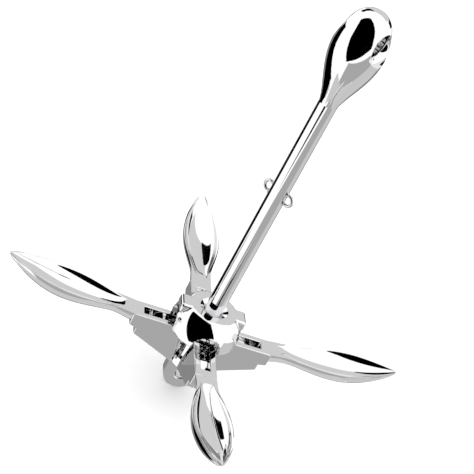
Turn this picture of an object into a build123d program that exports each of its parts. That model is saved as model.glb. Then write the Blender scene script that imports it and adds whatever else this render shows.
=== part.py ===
from build123d import *

# Folding grapnel anchor with four spoon flukes, a sliding locking collar and an egg-shaped eye.
# Units are millimetres. The shank runs up +Z, its foot end is at the bottom, and the origin is
# on the shank's axis at the lowest point. Flukes lie along +X, +Y, -X and -Y when open.
import os
from math import cos, radians, sin, sqrt

os.makedirs("parts", exist_ok=True)

# ---- driving dimensions -------------------------------------------------------------------
height = 396.0  # lowest point to the top of the eye
tip_radius = 180.0  # fluke tip to shank axis, flukes open
tip_height = 83.0

shank_radius = 8.0
shank_foot = 39.0  # the bar's lower end, down inside the crown
neck_height = 310.0  # where the bar meets the eye head
spigot_radius = 6.0
spigot_length = 26.0
bar_chamfer = 1.0

eye_height = 374.5  # centre of the rope eye
eye_radius = 9.5
eye_flare = 6.0  # radius of the rounding of the eye's mouths
eye_straight = 12.0  # half the straight part of the eye
eye_direction = -45.0  # azimuth of the eye's axis

pivot_radius = 36.0  # hinge pin centre to shank axis
pivot_height = 47.0
pin_radius = 4.0
pin_clearance = 0.06

fork_half_width = 10.0
slot_half_width = 4.4
slot_end = 54.5
fork_top = 67.0
fork_inner = 22.0  # upper inner corner of the fork
fork_outer = 64.0
web_outer = 57.2  # lower outer corner of the web
web_outer_bottom = 46.8
web_step = 53.0  # where the web's outer edge meets the underside of the neck
heel_radius = 15.5
heel_height = 29.0
heel_length = 12.0  # straight inner edge above the heel
heel_fillet = 3.0
step_fillet = 3.0
step_rise = 1.5

tongue_half_width = 4.0
tongue_end_radius = 16.0  # round end of each crown tongue, about the pin
tongue_inset = 1.2  # the tongue's lower edge lies this far above the web's
crown_bottom = 27.0
crown_top = 59.0
crown_flange_radius = 14.4
crown_flange_top = 35.5
crown_core_radius = 11.8
tongue_top_drop = 0.5  # the tongues start this far below the crown's top
tongue_shoulder = 5.0  # flat left of the pin on a tongue's top

lug_half_width = 15.0
lug_thickness = 10.0
lug_hole_height = 14.0
lug_hole_radius = 4.5
lug_hole_rounding = 1.5

collar_bottom = 59.3
collar_rim = 64.5
collar_top = 90.5
collar_ball_radius = 31.8
collar_ball_height = 66.8
collar_bore = shank_radius + 0.06
collar_wall = 20.5  # flat wall that stops the forks from turning
collar_dish_radius = 12.5
collar_dish_depth = 3.2
arch_half_width = 12.2
arch_top = 78.6
ear_radius = 30.0
ear_half_width = 8.5
ear_bottom = 81.0
ear_corner = 5.0

loop_height = 219.0
loop_half_length = 6.4
loop_reach = 16.4
loop_wire = 1.3
loop_corner = 2.6
loop_direction = -45.0
loop_root = 0.6  # depth of the welded ends in the bar

directions = {"right": 0.0, "back": 90.0, "left": 180.0, "front": 270.0}


def web_bottom(distance):
    """Height of the sloping lower edge of a fluke's web at a distance from the shank axis."""
    slope = (web_outer_bottom - heel_height) / (web_outer - heel_radius)
    return heel_height + slope * (distance - heel_radius)


# ---- shank bar: round bar with a turned spigot for the head ---------------------------------
with BuildPart() as shank_bar:
    with BuildSketch(Plane.XY.offset(shank_foot)):
        Circle(shank_radius)
    extrude(amount=neck_height - shank_foot)
    with BuildSketch(Plane.XY.offset(neck_height)):
        Circle(spigot_radius)
    extrude(amount=spigot_length)
    chamfer(shank_bar.edges().sort_by(Axis.Z)[-1], length=bar_chamfer)
    chamfer(shank_bar.edges().sort_by(Axis.Z)[0], length=bar_chamfer)
shank_bar.part.label = "shank_bar"
export_step(shank_bar.part, "parts/shank_bar.step")


# ---- head: egg-shaped forging with a bell-mouthed cross hole for the rode --------------------
with BuildPart() as head_eye:
    with BuildSketch(Plane.XZ):
        with BuildLine():
            flank = Spline(
                (shank_radius, neck_height),
                (12.8, neck_height + 15.0),
                (18.6, neck_height + 31.0),
                (21.9, neck_height + 49.0),
                (18.6, neck_height + 69.5),
                (0, height),
                tangents=[(0.22, 1), (-1, 0)],
            )
            Line(flank @ 1, (0, neck_height))
            Line((0, neck_height), flank @ 0)
        make_face()
    revolve(axis=Axis.Z)
    with BuildSketch(Plane.XY.offset(neck_height)):
        Circle(spigot_radius)
    extrude(amount=spigot_length, mode=Mode.SUBTRACT)
    eye_axis = Vector(cos(radians(eye_direction)), sin(radians(eye_direction)), 0)
    eye_plane = Plane(origin=(0, 0, eye_height), x_dir=eye_axis, z_dir=eye_axis.cross(Vector(0, 0, 1)))
    eye_end = eye_straight + eye_flare
    mouth_radius = eye_radius + eye_flare
    flare_middle = eye_flare * sqrt(0.5)
    cutter_end = 2 * eye_end
    with BuildSketch(eye_plane):
        with BuildLine():
            Line((0, 0), (0, eye_radius))
            Line((0, eye_radius), (eye_straight, eye_radius))
            ThreePointArc(
                (eye_straight, eye_radius),
                (eye_straight + flare_middle, mouth_radius - flare_middle),
                (eye_end, mouth_radius),
            )
            Line((eye_end, mouth_radius), (cutter_end, mouth_radius))
            Line((cutter_end, mouth_radius), (cutter_end, 0))
            Line((cutter_end, 0), (0, 0))
        make_face()
        mirror(about=Plane.YZ)
    revolve(axis=Axis((0, 0, eye_height), eye_axis), mode=Mode.SUBTRACT)
head_eye.part.label = "head_eye"
export_step(head_eye.part, "parts/head_eye.step")


# ---- crown: round core with a flange and four tongues that carry the hinge pins --------------
with BuildPart() as crown_hub:
    with BuildSketch(Plane.XY.offset(crown_bottom)):
        Circle(crown_flange_radius)
    extrude(amount=crown_flange_top - crown_bottom)
    with BuildSketch(Plane.XY.offset(crown_bottom)):
        Circle(crown_core_radius)
    extrude(amount=crown_top - crown_bottom)
    for turn in (0, 90):
        side_plane = Plane(origin=(0, 0, 0), x_dir=(cos(radians(turn)), sin(radians(turn)), 0),
                           z_dir=(sin(radians(turn)), -cos(radians(turn)), 0))
        with BuildSketch(side_plane):
            with Locations((pivot_radius, pivot_height)):
                Circle(tongue_end_radius)
            with BuildLine():
                Polyline(
                    (0, crown_bottom),
                    (pivot_radius, crown_bottom),
                    (pivot_radius, pivot_height + tongue_end_radius),
                    (pivot_radius - tongue_shoulder, pivot_height + tongue_end_radius),
                    (fork_inner, crown_top - tongue_top_drop),
                    (0, crown_top - tongue_top_drop),
                    close=True,
                )
            make_face()
            with BuildLine():
                Polyline(
                    (0, web_bottom(0) + tongue_inset),
                    (2 * fork_outer, web_bottom(2 * fork_outer) + tongue_inset),
                    (2 * fork_outer, 0),
                    (0, 0),
                    close=True,
                )
            make_face(mode=Mode.SUBTRACT)
            with Locations((pivot_radius, pivot_height)):
                Circle(pin_radius + pin_clearance, mode=Mode.SUBTRACT)
            mirror(about=Plane.YZ)
        extrude(amount=tongue_half_width, both=True)
    with BuildSketch(Plane.XY.offset(shank_foot)):
        Circle(shank_radius)
    extrude(amount=crown_top - shank_foot, mode=Mode.SUBTRACT)
crown_hub.part.label = "crown_hub"
export_step(crown_hub.part, "parts/crown_hub.step")


# ---- trip eye: rounded lug under the crown for a trip line ------------------------------------
with BuildPart() as trip_eye:
    with BuildSketch(Plane.XZ):
        with Locations((0, lug_half_width)):
            Circle(lug_half_width)
        with Locations((0, (lug_half_width + crown_bottom) / 2)):
            Rectangle(2 * lug_half_width, crown_bottom - lug_half_width)
        with Locations((0, crown_bottom + lug_half_width / 2)):
            Rectangle(2 * lug_half_width, lug_half_width, mode=Mode.SUBTRACT)
        with Locations((0, lug_hole_height)):
            Circle(lug_hole_radius, mode=Mode.SUBTRACT)
    extrude(amount=lug_thickness / 2, both=True)
    lug_faces = trip_eye.faces().filter_by(Axis.Y)
    lug_circles = lug_faces.edges().filter_by(GeomType.CIRCLE)
    fillet(lug_circles.filter_by(lambda edge: edge.radius < lug_half_width / 2), radius=lug_hole_rounding)
trip_eye.part.label = "trip_eye"
export_step(trip_eye.part, "parts/trip_eye.step")


# ---- locking collar: hollow-sided ball that slides on the shank and straddles the open forks --
with BuildPart() as locking_collar:
    rim_radius = sqrt(collar_ball_radius**2 - (collar_ball_height - collar_rim) ** 2)
    top_radius = sqrt(collar_ball_radius**2 - (collar_top - collar_ball_height) ** 2)
    with BuildSketch(Plane.XZ):
        with BuildLine():
            Polyline(
                (top_radius, collar_top),
                (collar_dish_radius, collar_top),
                (collar_bore, collar_top - collar_dish_depth),
                (collar_bore, collar_bottom),
                (collar_wall, collar_bottom),
                (collar_wall, collar_rim),
                (rim_radius, collar_rim),
            )
            ThreePointArc(
                (rim_radius, collar_rim),
                (
                    collar_ball_radius * cos(radians(20)),
                    collar_ball_height + collar_ball_radius * sin(radians(20)),
                ),
                (top_radius, collar_top),
            )
        make_face()
    revolve(axis=Axis.Z)
    with BuildSketch(Plane.XY.offset(ear_bottom)):
        RectangleRounded(2 * ear_radius, 2 * ear_half_width, radius=ear_corner)
        Circle(collar_wall, mode=Mode.SUBTRACT)
    extrude(amount=collar_top - ear_bottom)
    for turn in directions.values():
        outward = Vector(cos(radians(turn)), sin(radians(turn)), 0)
        arch_plane = Plane(origin=outward * collar_wall, x_dir=(-outward.Y, outward.X, 0), z_dir=outward)
        with BuildSketch(arch_plane):
            with Locations((0, arch_top - arch_half_width)):
                Circle(arch_half_width)
            with Locations((0, (arch_top - arch_half_width) / 2)):
                Rectangle(2 * arch_half_width, arch_top - arch_half_width)
        extrude(amount=2 * collar_ball_radius, mode=Mode.SUBTRACT)
locking_collar.part.label = "locking_collar"
export_step(locking_collar.part, "parts/locking_collar.step")


# ---- fluke: forked root, web and heel, neck, and a spoon palm that faces the shank's eye ------
# Stations along the palm: distance from the shank axis, half width, rim height, keel height.
palm_stations = [
    (62.0, 10.0, 67.1, 52.8),
    (70.0, 9.7, 67.9, 55.6),
    (80.0, 9.5, 69.0, 58.0),
    (92.0, 12.6, 70.5, 58.4),
    (108.0, 16.6, 72.4, 57.3),
    (126.0, 18.0, 74.4, 57.2),
    (144.0, 16.2, 76.7, 60.6),
    (162.0, 11.2, 79.4, 68.8),
    (173.0, 6.4, 81.4, 76.4),
    (tip_radius, 1.6, tip_height, 81.6),
]
# Stations along the spoon hollow: distance from the axis, half width, depth below the rim.
hollow_stations = [
    (71.0, 1.6, 0.6),
    (78.0, 5.6, 3.2),
    (92.0, 10.8, 7.0),
    (108.0, 14.9, 9.2),
    (126.0, 16.4, 9.8),
    (144.0, 14.6, 8.8),
    (162.0, 9.6, 5.2),
    (172.0, 5.0, 2.2),
    (176.0, 2.4, 0.7),
]


def rim_height(distance):
    """Height of the rim at a distance from the shank axis, read between two stations."""
    for near, far in zip(palm_stations, palm_stations[1:]):
        if near[0] <= distance <= far[0]:
            share = (distance - near[0]) / (far[0] - near[0])
            return near[2] + share * (far[2] - near[2])
    return tip_height


with BuildPart() as fluke:
    with BuildSketch(Plane.XZ):
        with BuildLine():
            Polyline(
                (fork_inner, fork_top),
                (fork_outer, fork_top),
                (fork_outer, web_step + step_rise),
                (web_outer, web_step),
                (web_outer, web_outer_bottom),
                (heel_radius, heel_height),
                (heel_radius, heel_height + heel_length),
                close=True,
            )
        make_face()
    extrude(amount=fork_half_width, both=True)
    fillet(fluke.edges().filter_by(Axis.Y).group_by(Axis.Z)[0], radius=heel_fillet)
    step_edge = fluke.edges().filter_by(Axis.Y).sort_by_distance((web_outer, 0, web_step))[0]
    fillet(step_edge, radius=step_fillet)
    for distance, half_width, rim, keel in palm_stations:
        with BuildSketch(Plane.YZ.offset(distance)):
            with BuildLine():
                EllipticalCenterArc((0, rim), half_width, rim - keel, start_angle=180, arc_size=180)
                Line((half_width, rim), (-half_width, rim))
            make_face()
    loft()
    for distance, half_width, depth in hollow_stations:
        with BuildSketch(Plane.YZ.offset(distance)):
            with Locations((0, rim_height(distance))):
                Ellipse(half_width, depth)
    loft(mode=Mode.SUBTRACT)
    with BuildSketch(Plane.XZ):
        with Locations((slot_end / 2, pivot_height)):
            Rectangle(slot_end, 2 * pivot_height)
    extrude(amount=slot_half_width, both=True, mode=Mode.SUBTRACT)
    with BuildSketch(Plane.XZ):
        with Locations((pivot_radius, pivot_height)):
            Circle(pin_radius)
    extrude(amount=fork_half_width, both=True, mode=Mode.SUBTRACT)


# ---- hinge pin: plain round pin, fast in the fork's cheeks and free in the crown's tongue -----
with BuildPart() as hinge_pin:
    with BuildSketch(Plane.XZ):
        with Locations((pivot_radius, pivot_height)):
            Circle(pin_radius)
    extrude(amount=fork_half_width, both=True)


for side, turn in directions.items():
    with BuildPart() as placed_fluke:
        add(fluke.part.rotate(Axis.Z, turn))
    placed_fluke.part.label = "fluke_" + side
    export_step(placed_fluke.part, "parts/fluke_" + side + ".step")
    with BuildPart() as placed_pin:
        add(hinge_pin.part.rotate(Axis.Z, turn))
    placed_pin.part.label = "hinge_pin_" + side
    export_step(placed_pin.part, "parts/hinge_pin_" + side + ".step")


# ---- keeper loops: bent wire staples on the shank that stop the collar's travel ---------------
with BuildPart() as keeper_loop:
    with BuildLine():
        FilletPolyline(
            (shank_radius - loop_root, 0, loop_height - loop_half_length),
            (loop_reach, 0, loop_height - loop_half_length),
            (loop_reach, 0, loop_height + loop_half_length),
            (shank_radius - loop_root, 0, loop_height + loop_half_length),
            radius=loop_corner,
        )
    leg_plane = Plane(origin=(shank_radius - loop_root, 0, loop_height - loop_half_length), z_dir=(1, 0, 0))
    with BuildSketch(leg_plane):
        Circle(loop_wire)
    sweep()

for side, turn in {"right": loop_direction, "left": loop_direction + 180}.items():
    with BuildPart() as placed_loop:
        add(keeper_loop.part.rotate(Axis.Z, turn))
    placed_loop.part.label = "keeper_loop_" + side
    export_step(placed_loop.part, "parts/keeper_loop_" + side + ".step")
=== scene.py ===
from math import cos, pi, radians, sin

import bmesh
import bpy
from mathutils import Matrix, Vector


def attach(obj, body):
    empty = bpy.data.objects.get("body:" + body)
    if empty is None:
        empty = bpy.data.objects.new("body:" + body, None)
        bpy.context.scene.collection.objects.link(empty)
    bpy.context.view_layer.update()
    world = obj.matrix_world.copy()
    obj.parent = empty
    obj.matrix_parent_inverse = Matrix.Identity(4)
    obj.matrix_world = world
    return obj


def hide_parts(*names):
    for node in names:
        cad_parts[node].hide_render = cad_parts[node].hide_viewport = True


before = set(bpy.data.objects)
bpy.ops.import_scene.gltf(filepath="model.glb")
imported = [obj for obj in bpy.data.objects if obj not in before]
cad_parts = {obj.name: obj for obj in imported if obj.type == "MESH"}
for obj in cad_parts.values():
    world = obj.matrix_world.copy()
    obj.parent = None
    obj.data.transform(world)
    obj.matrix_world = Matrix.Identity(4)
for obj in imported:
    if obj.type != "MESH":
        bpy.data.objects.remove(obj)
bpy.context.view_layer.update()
bpy.ops.object.select_all(action="DESELECT")


# ---- Bar, head, crown and trip eye -------------------------------------------------------------
# A drawn round bar with the forged head, crown and trip eye joined to it, all 316 stainless. They
# are ground, buffed on a wheel and electropolished, and keep the shapes that the frame gives them.
mm = 0.001
haze_length = 8.3  # millimetres from one slightly duller patch to the next
ripple_length = 16.7  # millimetres between the low waves that hand buffing leaves


def linear_rgb(hex_colour):
    """An sRGB hex colour as linear red, green, blue and alpha."""
    channels = [int(hex_colour[i:i + 2], 16) / 255 for i in (1, 3, 5)]
    return [c / 12.92 if c <= 0.04045 else ((c + 0.055) / 1.055) ** 2.4 for c in channels] + [1.0]


def new_node(material, kind, inputs=None, links=None):
    """Adds a shader node, sets its input values, and links its inputs to other nodes' outputs."""
    node = material.node_tree.nodes.new(kind)
    for name, value in (inputs or {}).items():
        node.inputs[name].default_value = value
    for name, source in (links or {}).items():
        material.node_tree.links.new(source, node.inputs[name])
    return node


def new_material(name):
    """An empty node material."""
    material = bpy.data.materials.new(name)
    material.use_nodes = True
    material.node_tree.nodes.clear()
    return material


# Mirror-polished stainless: a near-perfect, slightly cool mirror. The eye gets crisp reflections,
# bent a little by the ripple, with a faint haze where the wheel cut less.
polished_steel = new_material("mirror_polished_316_stainless")
place = new_node(polished_steel, "ShaderNodeTexCoord")
haze = new_node(polished_steel, "ShaderNodeTexNoise",
                inputs={"Scale": 1 / (haze_length * mm), "Detail": 3.0},
                links={"Vector": place.outputs["Object"]})
haze_roughness = new_node(polished_steel, "ShaderNodeMapRange",
                          inputs={"From Min": 0.3, "From Max": 0.8, "To Min": 0.03, "To Max": 0.07},
                          links={"Value": haze.outputs["Fac"]})
ripple = new_node(polished_steel, "ShaderNodeTexNoise",
                  inputs={"Scale": 1 / (ripple_length * mm), "Detail": 1.0},
                  links={"Vector": place.outputs["Object"]})
ripple_bump = new_node(polished_steel, "ShaderNodeBump",
                       inputs={"Strength": 0.02, "Distance": 1.0 * mm},
                       links={"Height": ripple.outputs["Fac"]})
polished_surface = new_node(polished_steel, "ShaderNodeBsdfPrincipled",
                            inputs={"Base Color": linear_rgb("#dededf"), "Metallic": 1.0},
                            links={"Roughness": haze_roughness.outputs["Result"],
                                   "Normal": ripple_bump.outputs["Normal"]})
new_node(polished_steel, "ShaderNodeOutputMaterial", links={"Surface": polished_surface.outputs["BSDF"]})

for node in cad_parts.values():
    node.data.materials.clear()
    node.data.materials.append(polished_steel)


# ---- Flukes ------------------------------------------------------------------------------------
# Four alike investment castings in 316 stainless: a spoon palm, a neck and a forked root with a
# web below it. The palm is drawn out ring by ring, the root is a slotted block with all its
# edges rounded by polishing, and the two are one piece. Lengths are millimetres.
turns = {"right": 0, "back": 90, "left": 180, "front": 270}
fork_top = 67.0
fork_outline = [
    (22.0, fork_top),
    (64.0, fork_top),
    (64.0, 54.6),
    (57.2, 53.0),
    (57.2, 46.8),
    (15.5, 29.0),
    (15.5, 41.0),
]
fork_half_width = 10.0
slot_half_width = 4.4
slot_end = 54.5
slot_cutter_top = 100.0
fork_rounding = 0.8
fork_rounding_steps = 4
fork_edge_angle = 20
# Rings: distance from the shank, half width, rim height, depth, hollow half width, hollow depth.
palm_rings = [
    (57.5, 9.4, 66.7, 11.5, 6.0, 0.05),
    (64.5, 9.8, 67.3, 13.4, 6.0, 0.05),
    (70.5, 9.7, 68.0, 12.3, 5.6, 0.10),
    (74.0, 9.6, 68.4, 11.8, 5.9, 1.00),
    (80.0, 9.6, 69.0, 11.2, 7.4, 3.60),
    (88.0, 11.6, 70.0, 11.7, 9.8, 5.80),
    (98.0, 14.3, 71.2, 13.4, 12.6, 8.00),
    (110.0, 16.8, 72.6, 15.3, 15.2, 9.50),
    (122.0, 17.9, 73.9, 16.8, 16.3, 10.10),
    (134.0, 17.7, 75.3, 17.0, 16.1, 9.90),
    (146.0, 15.8, 77.0, 15.7, 14.2, 8.60),
    (158.0, 12.6, 78.8, 12.4, 11.0, 6.30),
    (168.0, 8.9, 80.5, 7.8, 7.3, 3.60),
    (175.0, 5.4, 81.8, 4.2, 3.9, 1.50),
    (178.6, 3.0, 82.6, 2.0, 1.7, 0.40),
    (179.8, 1.4, 82.9, 0.9, 0.7, 0.10),
]
ring_points = 48
rim_crease = 0.75  # how crisp the palm's rim stays under the smoothing
shell_share = 0.97  # squared share of a ring's outline past which a point is on the outer shell
smooth_levels = 2
smooth_angle = 32
close = 1e-6  # metres within which two places count as one


def choose(piece, test):
    """In edit mode, selects the vertices that pass the test, and nothing else."""
    bpy.ops.mesh.select_all(action="DESELECT")
    mesh = bmesh.from_edit_mesh(piece.data)
    mesh.verts.index_update()
    for vertex in mesh.verts:
        vertex.select_set(test(vertex))
    mesh.select_flush(True)
    bmesh.update_edit_mesh(piece.data)


def begin(name):
    """Names the primitive just added, puts its place in its mesh, and opens it for editing."""
    piece = bpy.context.active_object
    piece.name = name
    piece.data.name = name
    bpy.ops.object.transform_apply(location=True, rotation=True, scale=True)
    bpy.ops.object.mode_set(mode="EDIT")
    bpy.ops.mesh.select_mode(type="VERT")
    return piece


def face_outwards():
    """In edit mode, turns every face outwards and goes back to object mode."""
    bpy.ops.mesh.select_all(action="SELECT")
    bpy.ops.mesh.normals_make_consistent(inside=False)
    bpy.ops.object.mode_set(mode="OBJECT")


def pick(piece):
    """Makes the piece the active object and the only one selected."""
    bpy.ops.object.select_all(action="DESELECT")
    bpy.context.view_layer.objects.active = piece
    piece.select_set(True)


def add_and_apply(piece, kind, **settings):
    """Adds a modifier to the piece, sets it, and applies it."""
    pick(piece)
    modifier = piece.modifiers.new(kind.lower(), kind)
    for name, value in settings.items():
        setattr(modifier, name, value)
    bpy.ops.object.modifier_apply(modifier=modifier.name)


def round_edges(piece, width, steps, angle):
    """Rounds every edge that turns by more than the angle in degrees."""
    add_and_apply(piece, "BEVEL", width=width * mm, segments=steps, limit_method="ANGLE",
                  angle_limit=radians(angle), use_clamp_overlap=False)


def cut_or_join(piece, tool, operation):
    """Cuts the tool out of the piece, or joins it on, and throws the tool away."""
    add_and_apply(piece, "BOOLEAN", operation=operation, object=tool, solver="EXACT")
    bpy.data.objects.remove(tool)


def finish(piece, steel):
    """Gives the piece smooth shading over its rounded edges, and its steel."""
    pick(piece)
    bpy.ops.object.shade_smooth_by_angle(angle=radians(smooth_angle))
    add_and_apply(piece, "WEIGHTED_NORMAL", keep_sharp=True)
    piece.data.materials.clear()
    piece.data.materials.append(steel)


def turn_about_shank(piece, degrees):
    """Turns the piece's mesh about the shank's axis."""
    piece.data.transform(Matrix.Rotation(radians(degrees), 4, "Z"))


def block(name, low, high):
    """A plain block between two corners, for shaping or for cutting with."""
    centre = [(a + b) / 2 * mm for a, b in zip(low, high)]
    lengths = [(b - a) * mm for a, b in zip(low, high)]
    bpy.ops.mesh.primitive_cube_add(size=1.0, location=centre, scale=lengths)
    piece = begin(name)
    bpy.ops.object.mode_set(mode="OBJECT")
    return piece


def make_palm():
    """The spoon: a ring drawn out through the stations, its upper half pressed into the hollow."""
    reach, width, rim, depth, hollow_width, hollow_depth = palm_rings[0]
    centre = (reach * mm, 0, rim * mm)
    bpy.ops.mesh.primitive_circle_add(vertices=ring_points, radius=width * mm, rotation=(0, pi / 2, 0),
                                      location=centre)
    piece = begin("palm")
    choose(piece, lambda vertex: vertex.co.z < rim * mm - close)
    bpy.ops.transform.resize(value=(1, 1, depth / width), center_override=centre)
    choose(piece, lambda vertex: vertex.co.z > rim * mm + close)
    bpy.ops.transform.resize(value=(1, hollow_width / width, -hollow_depth / width), center_override=centre)
    for last, ring in zip(palm_rings, palm_rings[1:]):
        last_reach, last_width, last_rim, last_depth, last_hollow_width, last_hollow_depth = last
        reach, width, rim, depth, hollow_width, hollow_depth = ring
        centre = (reach * mm, 0, rim * mm)
        choose(piece, lambda vertex: abs(vertex.co.x - last_reach * mm) < close)
        step = ((reach - last_reach) * mm, 0, (rim - last_rim) * mm)
        bpy.ops.mesh.extrude_edges_move(TRANSFORM_OT_translate={"value": step})

        shell = set()
        hollow = set()
        mesh = bmesh.from_edit_mesh(piece.data)
        mesh.verts.index_update()
        for vertex in mesh.verts:
            if abs(vertex.co.x - reach * mm) < close:
                across = vertex.co.y / (last_width * mm)
                down = (vertex.co.z - rim * mm) / (last_depth * mm)
                side = hollow if across**2 + down**2 < shell_share else shell
                side.add(vertex.index)
        choose(piece, lambda vertex: vertex.index in shell)
        bpy.ops.transform.resize(value=(1, width / last_width, depth / last_depth), center_override=centre)
        choose(piece, lambda vertex: vertex.index in hollow)
        bpy.ops.transform.resize(
            value=(1, hollow_width / last_hollow_width, hollow_depth / last_hollow_depth),
            center_override=centre,
        )
    for end in (palm_rings[0][0], palm_rings[-1][0]):
        choose(piece, lambda vertex: abs(vertex.co.x - end * mm) < close)
        bpy.ops.mesh.edge_face_add()

    def on_rim(vertex):
        return any(abs(vertex.co.x - ring[0] * mm) < close and abs(vertex.co.z - ring[2] * mm) < close
                   for ring in palm_rings)

    choose(piece, on_rim)
    bpy.ops.transform.edge_crease(value=rim_crease)
    face_outwards()
    add_and_apply(piece, "SUBSURF", levels=smooth_levels, render_levels=smooth_levels)
    return piece


def make_fork():
    """The root: the side outline pulled to full width, slotted, with every edge rounded."""
    bpy.ops.mesh.primitive_circle_add(vertices=len(fork_outline), radius=mm, fill_type="NGON",
                                      location=(0, 0, 0))
    piece = begin("fork")
    mesh = bmesh.from_edit_mesh(piece.data)
    for vertex, (reach, height) in zip(mesh.verts, fork_outline):
        vertex.co = (reach * mm, -fork_half_width * mm, height * mm)
    bmesh.update_edit_mesh(piece.data)
    bpy.ops.mesh.select_all(action="SELECT")
    bpy.ops.mesh.extrude_region_move(TRANSFORM_OT_translate={"value": (0, 2 * fork_half_width * mm, 0)})
    face_outwards()
    slot = block("slot", (0, -slot_half_width, 0), (slot_end, slot_half_width, slot_cutter_top))
    cut_or_join(piece, slot, "DIFFERENCE")
    round_edges(piece, fork_rounding, fork_rounding_steps, fork_edge_angle)
    return piece


fluke = make_fork()
cut_or_join(fluke, make_palm(), "UNION")
finish(fluke, polished_steel)
for side, turn in turns.items():
    placed = fluke.copy()
    placed.data = fluke.data.copy()
    placed.name = "spoon_fluke_" + side
    bpy.context.collection.objects.link(placed)
    turn_about_shank(placed, turn)
    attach(placed, side + "_fluke")
    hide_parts("fluke_" + side)
bpy.data.objects.remove(fluke)


# ---- Locking collar ----------------------------------------------------------------------------
# The ball that slides on the shank, a casting with an arch over each fork and two small ears.
# Its profile is drawn out ring by ring, the arches are cut, and the cut edges are rounded.
ball_radius = 31.8
ball_height = 66.8
ball_latitudes = range(0, 46, 5)
hub_radius = 20.5
bore_radius = 8.1
collar_bottom = 59.3
collar_top = 90.5
# Profile points below and above the ball: radius, height.
collar_low = [(hub_radius, collar_bottom), (hub_radius, 64.1), (20.9, 64.5), (30.9, 64.5), (31.5, 64.8)]
collar_high = [
    (21.7, 90.0),
    (20.6, 90.4),
    (19.2, collar_top),
    (13.3, collar_top),
    (12.5, 90.2),
    (8.5, 87.5),
    (bore_radius, 87.0),
    (bore_radius, collar_bottom),
]
collar_segments = 128
ear_low = (17.0, -8.5, 81.0)
ear_high = (30.0, 8.5, collar_top)
ear_rounding = 2.6
ear_rounding_steps = 6
ear_edge_angle = 30
arch_radius = 12.2
arch_centre = 66.4
arch_segments = 96
arch_outer = 64.0  # the arch cutters end well outside the ball
arch_cutter_bottom = 40.0
arch_rounding = 0.7
arch_rounding_steps = 3
arch_edge_angle = 40

ball_arc = []
for latitude in ball_latitudes:
    ball_arc.append((ball_radius * cos(radians(latitude)),
                     ball_height + ball_radius * sin(radians(latitude))))
profile = collar_low + ball_arc + collar_high
bpy.ops.mesh.primitive_circle_add(vertices=collar_segments, radius=hub_radius * mm,
                                  location=(0, 0, collar_bottom * mm))
collar = begin("ball_collar")
bpy.ops.mesh.select_all(action="SELECT")
for (last_radius, last_height), (radius, height) in zip(profile, profile[1:]):
    rise = (0, 0, (height - last_height) * mm)
    bpy.ops.mesh.extrude_edges_move(TRANSFORM_OT_translate={"value": rise})
    bpy.ops.transform.resize(value=(radius / last_radius, radius / last_radius, 1), center_override=(0, 0, 0))
choose(collar, lambda vertex: abs(vertex.co.z - collar_bottom * mm) < close)
bpy.ops.mesh.bridge_edge_loops()
face_outwards()
for turn in (0, 180):
    ear = block("ear", ear_low, ear_high)
    round_edges(ear, ear_rounding, ear_rounding_steps, ear_edge_angle)
    turn_about_shank(ear, turn)
    cut_or_join(collar, ear, "UNION")
for turn in turns.values():
    bpy.ops.mesh.primitive_cylinder_add(vertices=arch_segments, radius=arch_radius * mm,
                                        depth=(arch_outer - hub_radius) * mm, rotation=(0, pi / 2, 0),
                                        location=((arch_outer + hub_radius) / 2 * mm, 0, arch_centre * mm))
    arch = begin("arch")
    bpy.ops.object.mode_set(mode="OBJECT")
    gate = block("gate", (hub_radius, -arch_radius, arch_cutter_bottom),
                 (arch_outer, arch_radius, arch_centre))
    cut_or_join(arch, gate, "UNION")
    turn_about_shank(arch, turn)
    cut_or_join(collar, arch, "DIFFERENCE")
round_edges(collar, arch_rounding, arch_rounding_steps, arch_edge_angle)
finish(collar, polished_steel)
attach(collar, "collar")
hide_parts("locking_collar")


# ---- Hinge pins --------------------------------------------------------------------------------
# Ground 8 mm stainless pins, pressed into the forks' cheeks, cut flush and polished over, so
# that only their middles show, down in the slots. Each is a bar with its ends eased.
pivot_reach = 36.0
pivot_height = 47.0
pin_radius = 4.0
pin_half_length = 9.7
pin_segments = 64
pin_easing = 0.6
pin_easing_steps = 2
pin_edge_angle = 60
scratch_width = 0.28  # grinding marks, drawn coarser than real grit so that they show
scratch_length = 2.8  # they run upwards, round the pins' sides

# Centreless-ground stainless: a greyer, softer mirror than the polished steel, with fine streaks.
ground_steel = new_material("ground_316_stainless")
place = new_node(ground_steel, "ShaderNodeTexCoord")
stretch = new_node(ground_steel, "ShaderNodeMapping",
                   inputs={"Scale": (1 / scratch_width, 1 / scratch_width, 1 / scratch_length)},
                   links={"Vector": place.outputs["Object"]})
grinding = new_node(ground_steel, "ShaderNodeTexNoise", inputs={"Scale": 1 / mm, "Detail": 4.0},
                    links={"Vector": stretch.outputs["Vector"]})
grinding_roughness = new_node(ground_steel, "ShaderNodeMapRange", inputs={"To Min": 0.12, "To Max": 0.26},
                              links={"Value": grinding.outputs["Fac"]})
grinding_bump = new_node(ground_steel, "ShaderNodeBump", inputs={"Strength": 0.15, "Distance": 0.02 * mm},
                         links={"Height": grinding.outputs["Fac"]})
ground_surface = new_node(ground_steel, "ShaderNodeBsdfPrincipled",
                          inputs={"Base Color": linear_rgb("#c9c9ca"), "Metallic": 1.0},
                          links={"Roughness": grinding_roughness.outputs["Result"],
                                 "Normal": grinding_bump.outputs["Normal"]})
new_node(ground_steel, "ShaderNodeOutputMaterial", links={"Surface": ground_surface.outputs["BSDF"]})

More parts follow.
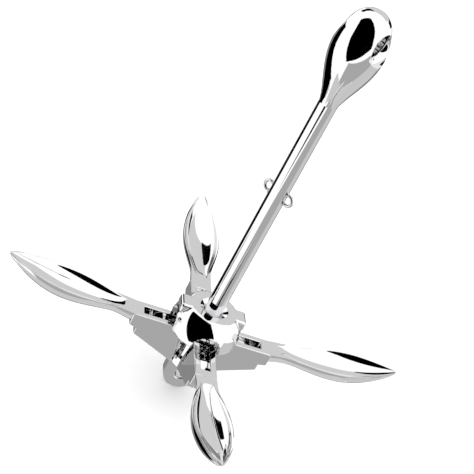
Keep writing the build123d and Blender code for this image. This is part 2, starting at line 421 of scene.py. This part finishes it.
for side, turn in turns.items():
    bpy.ops.mesh.primitive_cylinder_add(vertices=pin_segments, radius=pin_radius * mm,
                                        depth=2 * pin_half_length * mm, rotation=(pi / 2, 0, 0),
                                        location=(pivot_reach * mm, 0, pivot_height * mm))
    pin = begin("hinge_pin_bar_" + side)
    bpy.ops.object.mode_set(mode="OBJECT")
    round_edges(pin, pin_easing, pin_easing_steps, pin_edge_angle)
    finish(pin, ground_steel)
    turn_about_shank(pin, turn)
    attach(pin, side + "_fluke")
    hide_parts("hinge_pin_" + side)


# ---- Keeper loops ------------------------------------------------------------------------------
# Two small rings of 3 mm wire welded to the bar, which stop the collar's travel. Each is a wire
# ring with a blob of weld at each foot.
wire_radius = 1.45
wire_segments = 16
ring_radius = 4.4
ring_segments = 48
ring_reach = 10.4
ring_height = 219.0
weld_reach = 8.2
weld_size = (1.4, 2.1, 2.3)
weld_segments = 32
for side, turn in {"right": -45, "left": 135}.items():
    bpy.ops.mesh.primitive_torus_add(major_segments=ring_segments, minor_segments=wire_segments,
                                     major_radius=ring_radius * mm, minor_radius=wire_radius * mm,
                                     rotation=(pi / 2, 0, 0), location=(ring_reach * mm, 0, ring_height * mm))
    loop = begin("wire_keeper_" + side)
    bpy.ops.object.mode_set(mode="OBJECT")
    for foot in (-ring_radius, ring_radius):
        bpy.ops.mesh.primitive_uv_sphere_add(segments=weld_segments, ring_count=weld_segments // 2, radius=mm,
                                             location=(weld_reach * mm, 0, (ring_height + foot) * mm),
                                             scale=weld_size)
        weld = begin("weld")
        bpy.ops.object.mode_set(mode="OBJECT")
        cut_or_join(loop, weld, "UNION")
    finish(loop, ground_steel)
    turn_about_shank(loop, turn)
    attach(loop, "shank")
    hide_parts("keeper_loop_" + side)


# ---- Studio ------------------------------------------------------------------------------------
# A pale floor and soft light from all round. Polished metal only shows what stands round it, so
# black and grey cards stand far off, seen by nothing but its reflections.
floor_size = 6.0
floor_drop = 0.5 * mm
bpy.ops.mesh.primitive_plane_add(size=floor_size, location=(0, 0, -floor_drop))
studio_floor = bpy.context.active_object
studio_floor.name = "studio_floor"
pale_floor = new_material("pale_matt_floor")
floor_surface = new_node(pale_floor, "ShaderNodeBsdfPrincipled",
                         inputs={"Base Color": linear_rgb("#ffffff"), "Roughness": 0.9})
new_node(pale_floor, "ShaderNodeOutputMaterial", links={"Surface": floor_surface.outputs["BSDF"]})
studio_floor.data.materials.append(pale_floor)
studio_floor.visible_glossy = False

studio_world = bpy.data.worlds.new("studio_world")
bpy.context.scene.world = studio_world
studio_world.use_nodes = True
studio_world.node_tree.nodes["Background"].inputs["Color"].default_value = linear_rgb("#ffffff")
studio_world.node_tree.nodes["Background"].inputs["Strength"].default_value = 1.4
bpy.context.scene.view_settings.view_transform = "Standard"

aim = Vector((-0.0116, 0.0041, 0.1636))
view_azimuth = radians(-19.43)
view_elevation = radians(31.53)
view_roll = radians(28.73)
view_distance = 1.2056
toward_camera = Vector((sin(view_azimuth) * cos(view_elevation), -cos(view_azimuth) * cos(view_elevation),
                        sin(view_elevation)))
level_turn = (-toward_camera).to_track_quat("-Z", "Y").to_matrix()
camera_turn = level_turn @ Matrix.Rotation(view_roll, 3, "Z")

card_distance = 3.0
# Each card's brightness, and its corners as directions: right, up and toward the camera.
cards = {
    "black_camera_card": (0.0, [(-0.66, -0.58, 0.45), (0.51, -0.55, 0.66), (0.06, 0.78, 0.62),
                                (-0.52, 0.74, 0.42)]),
    "black_left_card": (0.0, [(-0.95, -0.5, -0.3), (-0.57, -0.5, -0.82), (-0.57, 0.75, -0.82),
                              (-0.95, 0.75, -0.3)]),
    "grey_behind_card": (0.3, [(-0.8, -0.8, -1.1), (0.8, -0.8, -1.1), (0.8, 0.8, -1.1),
                               (-0.8, 0.8, -1.1)]),
    "pale_above_card": (0.82, [(-0.1, 0.95, -0.2), (0.9, 0.55, -0.1), (0.75, 0.35, -0.75),
                               (0.05, 0.65, -0.8)]),
    "pale_under_card": (0.78, [(-0.95, -0.75, 0.05), (0.15, -1.05, -0.15), (0.1, -0.8, -0.95),
                               (-0.65, -0.55, -0.85)]),
    "black_top_card": (0.0, [(-0.22, 0.8, -0.13), (0.27, 0.8, -0.13), (0.27, 0.76, -0.45),
                             (-0.22, 0.76, -0.45)]),
    "black_streak_card": (0.0, [(0.49, 0.39, -0.64), (0.77, 0.36, -0.3), (0.77, 0.16, -0.45),
                                (0.42, 0.22, -0.76)]),
    "grey_low_card": (0.52, [(-0.6, -0.8, 0.55), (0.75, -0.8, 0.55), (0.75, -0.9, -0.1),
                             (-0.6, -0.9, -0.1)]),
    "grey_right_card": (0.75, [(0.1, -0.9, -0.1), (0.9, -0.7, 0.1), (0.7, -0.3, -0.8),
                               (0.1, -0.6, -0.8)]),
}
for name, (brightness, corners) in cards.items():
    bpy.ops.mesh.primitive_plane_add(size=1.0)
    card = bpy.context.active_object
    card.name = name
    corner_vertices = [card.data.vertices[i] for i in (0, 1, 3, 2)]  # in order round the card
    for vertex, corner in zip(corner_vertices, corners):
        vertex.co = aim + camera_turn @ Vector(corner) * card_distance
    card_paint = new_material(name + "_paint")
    glow = new_node(card_paint, "ShaderNodeEmission",
                    inputs={"Color": (brightness, brightness, brightness, 1), "Strength": 1.0})
    new_node(card_paint, "ShaderNodeOutputMaterial", links={"Surface": glow.outputs["Emission"]})
    card.data.materials.append(card_paint)
    card.visible_camera = False
    card.visible_diffuse = False
    card.visible_shadow = False
    card.visible_transmission = False

bpy.ops.object.camera_add(location=aim + toward_camera * view_distance)
camera = bpy.context.active_object
camera.rotation_euler = camera_turn.to_euler()
camera.data.sensor_width = 36.0
camera.data.lens = 110.8
camera.data.clip_end = 20.0
bpy.context.scene.camera = camera
